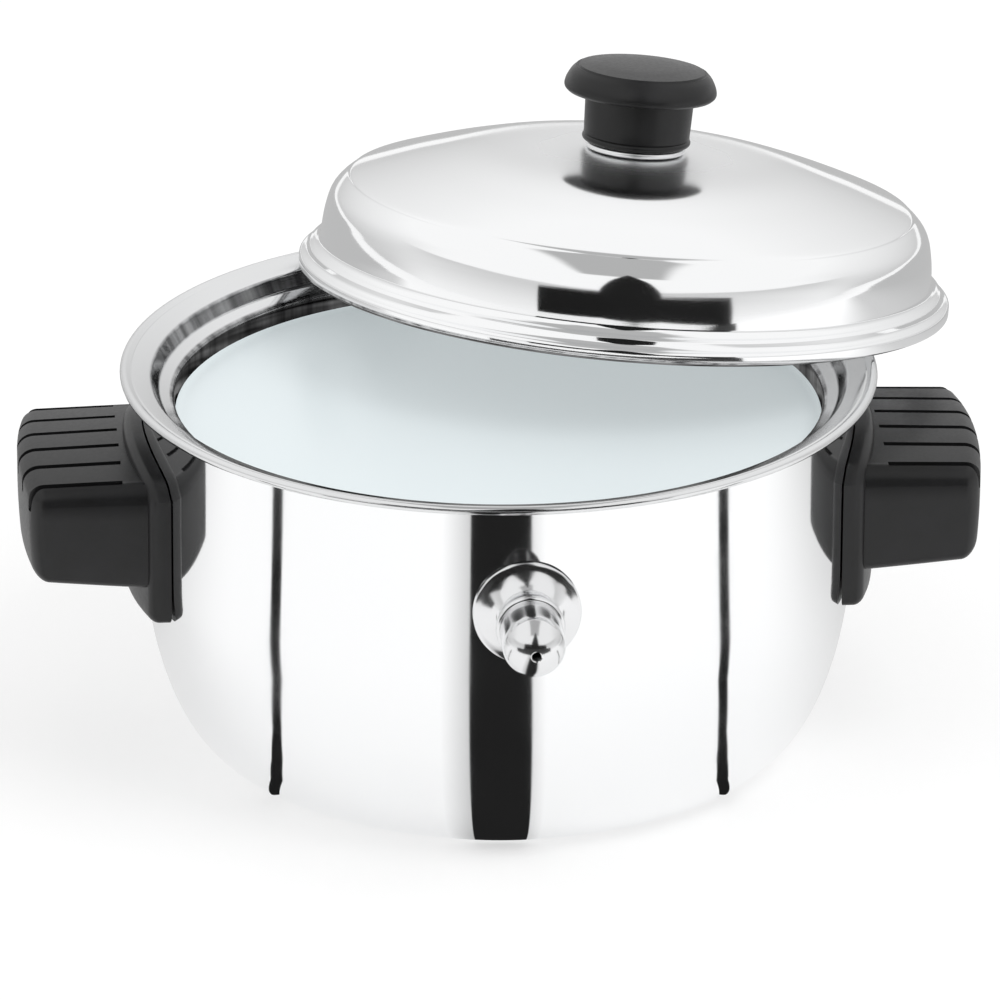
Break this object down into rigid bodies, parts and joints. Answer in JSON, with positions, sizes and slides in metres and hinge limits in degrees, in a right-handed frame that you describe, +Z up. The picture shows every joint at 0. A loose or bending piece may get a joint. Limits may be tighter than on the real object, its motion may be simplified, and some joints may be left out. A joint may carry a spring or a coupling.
{
  "type": "milk boiler",
  "caption": "Double-wall steel milk boiler: water jacket round a milk pan, front filler with screw-on whistle, dark side grips, and a domed lid with a knob resting askew on the lip.",
  "frame": {"origin": "centre of the flat base, on the surface that the boiler stands on", "axes": "+Z up along the pan's axis, grips along X, whistle pointing along -Y"},
  "size_m": [0.28, 0.3016, 0.1821],
  "materials": {
    "mirror_steel": "mirror-polished stainless steel",
    "satin_steel": "satin stainless steel",
    "whistle_chrome": "bright chrome plate",
    "zinc_steel": "zinc-plated steel",
    "bakelite": "dark moulded thermoset, semi-gloss",
    "gasket_rubber": "matte silicone rubber"
  },
  "bodies": {
    "boiler": {"outer_pan": "mirror_steel", "inner_pan": "satin_steel", "filler_nozzle": "whistle_chrome", "filler_nut": "zinc_steel", "handle_left": "bakelite", "handle_bracket_left": "zinc_steel", "handle_washer_left": "zinc_steel", "handle_screw_left": "satin_steel", "handle_right": "bakelite", "handle_bracket_right": "zinc_steel", "handle_washer_right": "zinc_steel", "handle_screw_right": "satin_steel"},
    "lid": {"lid": "mirror_steel", "knob_collar": "mirror_steel", "knob": "bakelite", "knob_washer": "zinc_steel", "knob_screw": "satin_steel"},
    "gasket": {"whistle_gasket": "gasket_rubber"},
    "whistle": {"whistle_cap": "whistle_chrome", "whistle_plate_rear": "satin_steel", "whistle_plate_front": "satin_steel"}
  },
  "joints": [
    {"name": "lid_lift", "type": "slide", "parent": "boiler", "child": "lid", "axis": [0, 0, 1], "range_m": [0, 0.15]},
    {"name": "whistle_advance", "type": "slide", "parent": "boiler", "child": "gasket", "axis": [0, -1, 0], "range_m": [0, 0.0061]},
    {"name": "whistle_turn", "type": "hinge", "parent": "gasket", "child": "whistle", "pos_m": [0, -0.126, 0.0816], "axis": [0, -1, 0], "range_deg": [0, 1440]}
  ],
  "couplings": [
    {"joint": "whistle_advance", "follows": "whistle_turn", "m_per_rad": 0.00023873}
  ]
}
